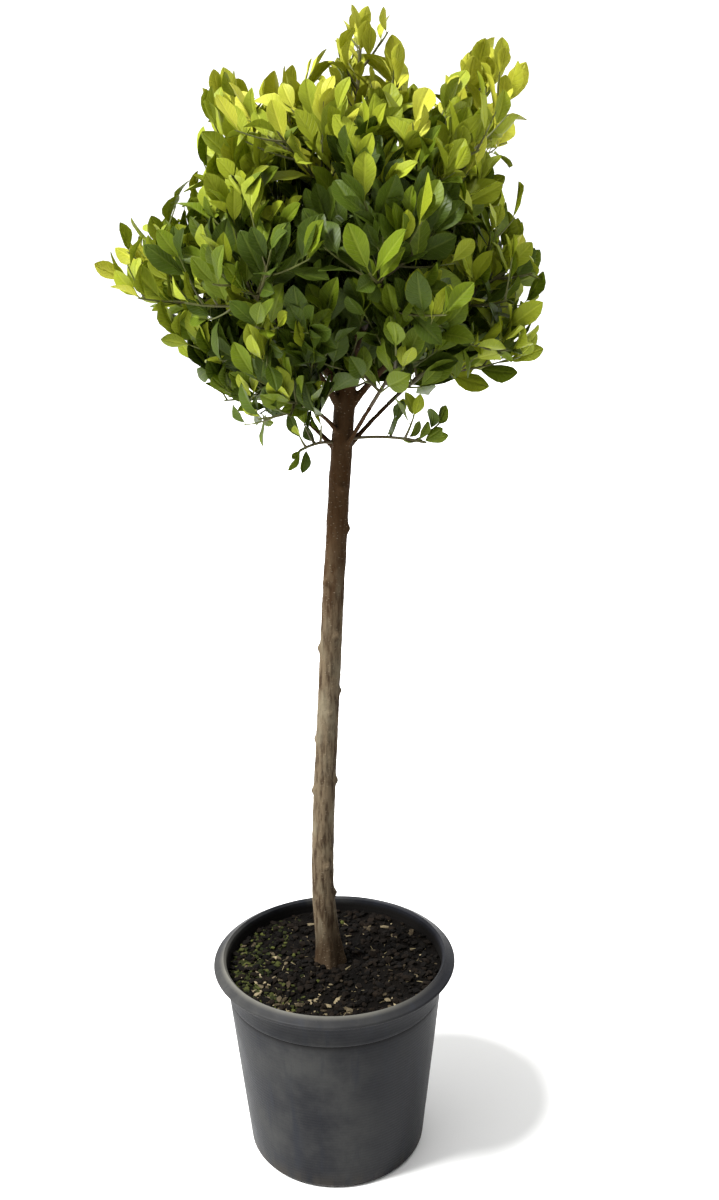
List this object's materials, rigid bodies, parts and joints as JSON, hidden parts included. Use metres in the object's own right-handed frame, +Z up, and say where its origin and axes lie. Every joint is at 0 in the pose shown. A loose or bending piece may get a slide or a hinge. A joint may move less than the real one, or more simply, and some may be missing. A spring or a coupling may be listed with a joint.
{
  "type": "potted standard ficus",
  "caption": "Small evergreen tree grown as a standard: a slender clear stem, a loose round crown of glossy oval leaves, and a tapered nursery pot of soil.",
  "frame": {"origin": "centre of the pot's flat underside", "axes": "+Z up along the stem, -Y towards the front seen in the picture, +X to the right of that view"},
  "size_m": [0.5109, 0.4266, 1.3524],
  "materials": {
    "pot_plastic": "dusty charcoal-grey moulded plastic, lighter on the worn lip",
    "potting_soil": "dark damp potting mix with pale bark chips",
    "bark": "rough grey-brown bark with small leaf scars",
    "foliage": "glossy leaves, yellow-green on young shoots and deep green in the shade"
  },
  "bodies": {
    "root": {"pot": "pot_plastic", "soil": "potting_soil", "trunk": "bark", "bough_upper_1": "bark", "bough_upper_2": "bark", "bough_upper_3": "bark", "bough_upper_4": "bark", "bough_upper_5": "bark", "bough_upper_6": "bark", "bough_middle_1": "bark", "bough_middle_2": "bark", "bough_middle_3": "bark", "bough_middle_4": "bark", "bough_middle_5": "bark", "bough_middle_6": "bark", "bough_lower_1": "bark", "bough_lower_2": "bark", "bough_lower_3": "bark", "bough_lower_4": "bark", "bough_lower_5": "bark", "leaves_upper_1": "foliage", "leaves_upper_2": "foliage", "leaves_upper_3": "foliage", "leaves_upper_4": "foliage", "leaves_upper_5": "foliage", "leaves_upper_6": "foliage", "leaves_middle_1": "foliage", "leaves_middle_2": "foliage", "leaves_middle_3": "foliage", "leaves_middle_4": "foliage", "leaves_middle_5": "foliage", "leaves_middle_6": "foliage", "leaves_lower_1": "foliage", "leaves_lower_2": "foliage", "leaves_lower_3": "foliage", "leaves_lower_4": "foliage", "leaves_lower_5": "foliage", "leaves_leader": "foliage", "leaves_sprig_right": "foliage", "leaves_sprig_left": "foliage"}
  },
  "joints": []
}
